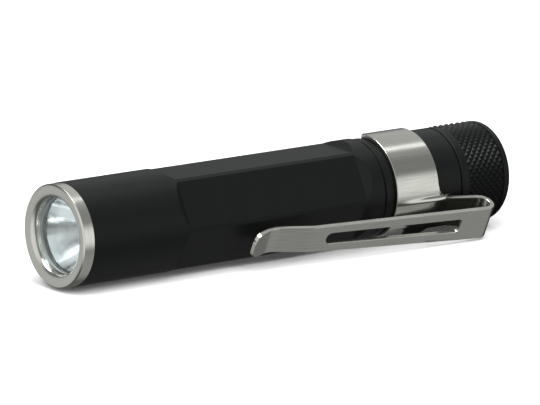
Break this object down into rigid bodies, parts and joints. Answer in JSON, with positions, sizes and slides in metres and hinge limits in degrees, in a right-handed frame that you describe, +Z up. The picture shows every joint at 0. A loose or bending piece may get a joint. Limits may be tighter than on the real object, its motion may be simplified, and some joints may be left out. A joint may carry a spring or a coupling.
{
  "type": "penlight",
  "caption": "Slim round penlight with a steel bezel, flats milled along a black barrel, a turning steel pocket clip and a knurled screw tail cap.",
  "frame": {"origin": "on the axis of the light at the front end of the barrel, where the bezel seats", "axes": "X is the axis of the light with the lens towards -X and the tail towards +X, Z is up as the light lies on its side, and Y completes the frame"},
  "size_m": [0.072, 0.0184, 0.0148],
  "materials": {
    "black_anodised": "satin black anodising",
    "bezel_steel": "turned and brushed",
    "clip_steel": "brushed along the strip",
    "grey_seal": "smooth",
    "lens_glass": "clear and flat",
    "reflector_mirror": "smooth bright metal coat",
    "white_plastic": "matte",
    "emitter_ceramic": "smooth",
    "phosphor": "matte",
    "dome_silicone": "clear",
    "emitter_board": "white solder mask",
    "red_wire": "smooth",
    "black_wire": "smooth",
    "pill_brass": "turned",
    "coil_ferrite": "matte",
    "chip_epoxy": "matte",
    "capacitor_ceramic": "matte",
    "driver_laminate": "smooth",
    "contact_brass": "bright",
    "cell_nickel": "plated",
    "cell_body": "plain",
    "cell_film": "plain film with no print",
    "black_rubber": "smooth"
  },
  "bodies": {
    "barrel": {"body_tube": "black_anodised", "bezel_ring": "bezel_steel", "lens_seal": "grey_seal", "lens": "lens_glass", "reflector": "reflector_mirror", "led_gasket": "white_plastic", "led_base": "emitter_ceramic", "led_phosphor": "phosphor", "led_dome": "dome_silicone", "led_board": "emitter_board", "led_wire_positive": "red_wire", "led_wire_negative": "black_wire", "pill": "pill_brass", "driver_coil": "coil_ferrite", "driver_chip": "chip_epoxy", "driver_capacitor": "capacitor_ceramic", "driver_diode": "chip_epoxy", "driver_board": "driver_laminate", "driver_ring": "pill_brass", "positive_contact": "contact_brass", "contact_insulator": "white_plastic", "cell_positive_cap": "cell_nickel", "cell_can": "cell_body", "cell_jacket": "cell_film", "cell_negative_cap": "cell_nickel", "tail_o_ring": "black_rubber"},
    "clip_band": {"clip_band": "clip_steel"},
    "clip_arm": {"clip_arm": "clip_steel"},
    "tail_contact": {"tail_spring": "contact_brass", "spring_seat": "contact_brass"},
    "tail_cap": {"tail_cap": "black_anodised"}
  },
  "joints": [
    {"name": "clip_swivel", "type": "hinge", "parent": "barrel", "child": "clip_band", "pos_m": [0.0535, 0, 0], "axis": [1, 0, 0], "continuous": true},
    {"name": "clip_flex", "type": "hinge", "parent": "clip_band", "child": "clip_arm", "pos_m": [0.0644, -0.00883, -0.00419], "axis": [0, -0.4289, 0.9033], "range_deg": [0, 4], "stiffness_Nm_per_rad": 3},
    {"name": "tailcap_advance", "type": "slide", "parent": "barrel", "child": "tail_contact", "axis": [1, 0, 0], "range_m": [0, 0.004], "deforming": ["tail_spring"]},
    {"name": "tailcap_twist", "type": "hinge", "parent": "tail_contact", "child": "tail_cap", "pos_m": [0.066, 0, 0], "axis": [1, 0, 0], "range_deg": [0, 1800]}
  ],
  "couplings": [
    {"joint": "tailcap_twist", "follows": "tailcap_advance", "rad_per_m": 7854}
  ]
}
